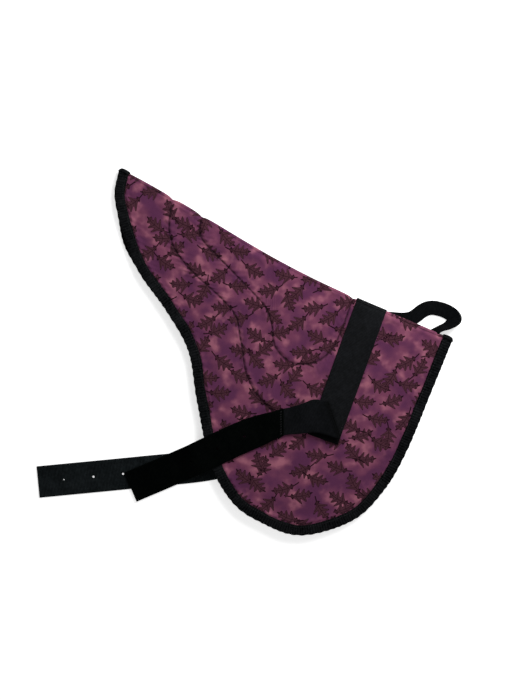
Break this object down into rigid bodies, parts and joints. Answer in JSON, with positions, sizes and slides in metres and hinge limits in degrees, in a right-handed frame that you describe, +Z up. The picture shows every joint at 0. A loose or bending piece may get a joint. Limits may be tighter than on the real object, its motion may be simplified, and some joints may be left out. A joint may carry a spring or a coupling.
{
  "type": "bareback riding pad",
  "caption": "Quilted bareback riding pad folded in half along its spine, with bound edges, sewn girth webbing, punched girth billets and a webbing grab handle.",
  "frame": {"origin": "on the table, under the middle of the whole object's box", "axes": "+X along the spine towards the withers, +Y out past the spine, +Z up from the table the folded pad lies on"},
  "size_m": [0.6042, 0.5632, 0.0294],
  "materials": {
    "printed_cotton": "matte quilted cotton, mottled purple and mauve with a dark leaf print",
    "foam": "open foam, hidden",
    "fleece_lining": "charcoal brushed fleece",
    "binding_tape": "black ribbed tape",
    "black_webbing": "black woven webbing",
    "quilting_thread": "dark sewing thread"
  },
  "bodies": {
    "off_half": {"off_cover": "printed_cotton", "off_foam": "foam", "off_lining": "fleece_lining", "off_binding": "binding_tape", "off_girth_webbing": "black_webbing", "off_outer_quilting": "quilting_thread", "off_inner_quilting": "quilting_thread", "spine_cover": "printed_cotton", "spine_girth_webbing": "black_webbing", "rear_binding_fold": "binding_tape", "front_binding_fold": "binding_tape"},
    "near_half": {"near_cover": "printed_cotton", "near_foam": "foam", "near_lining": "fleece_lining", "near_binding": "binding_tape", "near_girth_webbing": "black_webbing", "near_outer_quilting": "quilting_thread", "near_inner_quilting": "quilting_thread", "near_strap_tab": "black_webbing"},
    "near_strap": {"near_lead": "black_webbing", "near_billet": "black_webbing"},
    "off_strap": {"off_lead": "black_webbing", "off_billet": "black_webbing"},
    "handle": {"grab_handle": "black_webbing"}
  },
  "joints": [
    {"name": "spine_fold", "type": "hinge", "parent": "off_half", "child": "near_half", "pos_m": [0, 0.23287, 0.0123], "axis": [-1, 0, 0], "range_deg": [0, 110], "deforming": ["spine_cover", "spine_girth_webbing", "rear_binding_fold", "front_binding_fold"]},
    {"name": "near_strap_lift", "type": "hinge", "parent": "near_half", "child": "near_strap", "pos_m": [0.17467, 0.03253, 0.026], "axis": [-0.7083, 0.7059, 0], "range_deg": [0, 120]},
    {"name": "off_strap_swing", "type": "hinge", "parent": "off_half", "child": "off_strap", "pos_m": [0.17367, 0.01353, 0.001], "axis": [0, 0, 1], "range_deg": [-12, 10]},
    {"name": "handle_tip", "type": "hinge", "parent": "off_half", "child": "handle", "pos_m": [0.19786, 0.22707, 0.004], "axis": [0.9763, 0.2136, 0.0351], "range_deg": [0, 45]}
  ]
}
